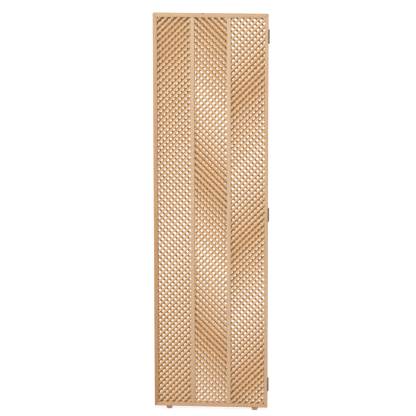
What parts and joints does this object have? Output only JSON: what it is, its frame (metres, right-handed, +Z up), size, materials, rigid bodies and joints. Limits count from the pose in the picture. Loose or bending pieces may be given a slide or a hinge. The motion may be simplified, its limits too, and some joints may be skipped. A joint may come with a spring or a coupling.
{
  "type": "folding screen",
  "caption": "Tall bamboo folding screen, stored folded flat: hinged leaves, each a slim grooved frame with columns of slanting slats set in a chevron, on small block feet.",
  "frame": {"origin": "on the floor, under the middle of the folded stack of leaves", "axes": "+X to the right along the leaves, +Y away from the viewer through the stack, +Z up"},
  "size_m": [0.4887, 0.035, 1.7043],
  "materials": {
    "bamboo_frame": "satin",
    "bamboo_slats": "satin",
    "foot_wood": "satin",
    "hinge_steel": "satin",
    "stud_steel": "satin"
  },
  "bodies": {
    "leaf_1": {"leaf_1_left_stile": "bamboo_frame", "leaf_1_right_stile": "bamboo_frame", "leaf_1_top_rail": "bamboo_frame", "leaf_1_bottom_rail": "bamboo_frame", "leaf_1_left_muntin": "bamboo_frame", "leaf_1_right_muntin": "bamboo_frame", "leaf_1_left_slats": "bamboo_slats", "leaf_1_middle_slats": "bamboo_slats", "leaf_1_right_slats": "bamboo_slats", "leaf_1_left_foot": "foot_wood", "leaf_1_right_foot": "foot_wood", "right_bottom_hinge_outer_plate": "hinge_steel", "right_bottom_hinge_pin": "hinge_steel", "right_middle_hinge_outer_plate": "hinge_steel", "right_middle_hinge_pin": "hinge_steel", "right_top_hinge_outer_plate": "hinge_steel", "right_top_hinge_pin": "hinge_steel", "top_stud": "stud_steel"},
    "leaf_2": {"leaf_2_left_stile": "bamboo_frame", "leaf_2_right_stile": "bamboo_frame", "leaf_2_top_rail": "bamboo_frame", "leaf_2_bottom_rail": "bamboo_frame", "leaf_2_left_muntin": "bamboo_frame", "leaf_2_right_muntin": "bamboo_frame", "leaf_2_left_slats": "bamboo_slats", "leaf_2_middle_slats": "bamboo_slats", "leaf_2_right_slats": "bamboo_slats", "leaf_2_left_foot": "foot_wood", "leaf_2_right_foot": "foot_wood", "right_bottom_hinge_inner_plate": "hinge_steel", "right_middle_hinge_inner_plate": "hinge_steel", "right_top_hinge_inner_plate": "hinge_steel", "left_bottom_hinge_inner_plate": "hinge_steel", "left_middle_hinge_inner_plate": "hinge_steel", "left_top_hinge_inner_plate": "hinge_steel"},
    "leaf_3": {"leaf_3_left_stile": "bamboo_frame", "leaf_3_right_stile": "bamboo_frame", "leaf_3_top_rail": "bamboo_frame", "leaf_3_bottom_rail": "bamboo_frame", "leaf_3_left_muntin": "bamboo_frame", "leaf_3_right_muntin": "bamboo_frame", "leaf_3_left_slats": "bamboo_slats", "leaf_3_middle_slats": "bamboo_slats", "leaf_3_right_slats": "bamboo_slats", "leaf_3_left_foot": "foot_wood", "leaf_3_right_foot": "foot_wood", "left_bottom_hinge_outer_plate": "hinge_steel", "left_bottom_hinge_pin": "hinge_steel", "left_middle_hinge_outer_plate": "hinge_steel", "left_middle_hinge_pin": "hinge_steel", "left_top_hinge_outer_plate": "hinge_steel", "left_top_hinge_pin": "hinge_steel"}
  },
  "joints": [
    {"name": "fold_right", "type": "hinge", "parent": "leaf_1", "child": "leaf_2", "pos_m": [0.2433, -0.006, 0.856], "axis": [0, 0, -1], "range_deg": [0, 180]},
    {"name": "fold_left", "type": "hinge", "parent": "leaf_2", "child": "leaf_3", "pos_m": [-0.2402, 0.006, 0.856], "axis": [0, 0, 1], "range_deg": [0, 180]}
  ]
}
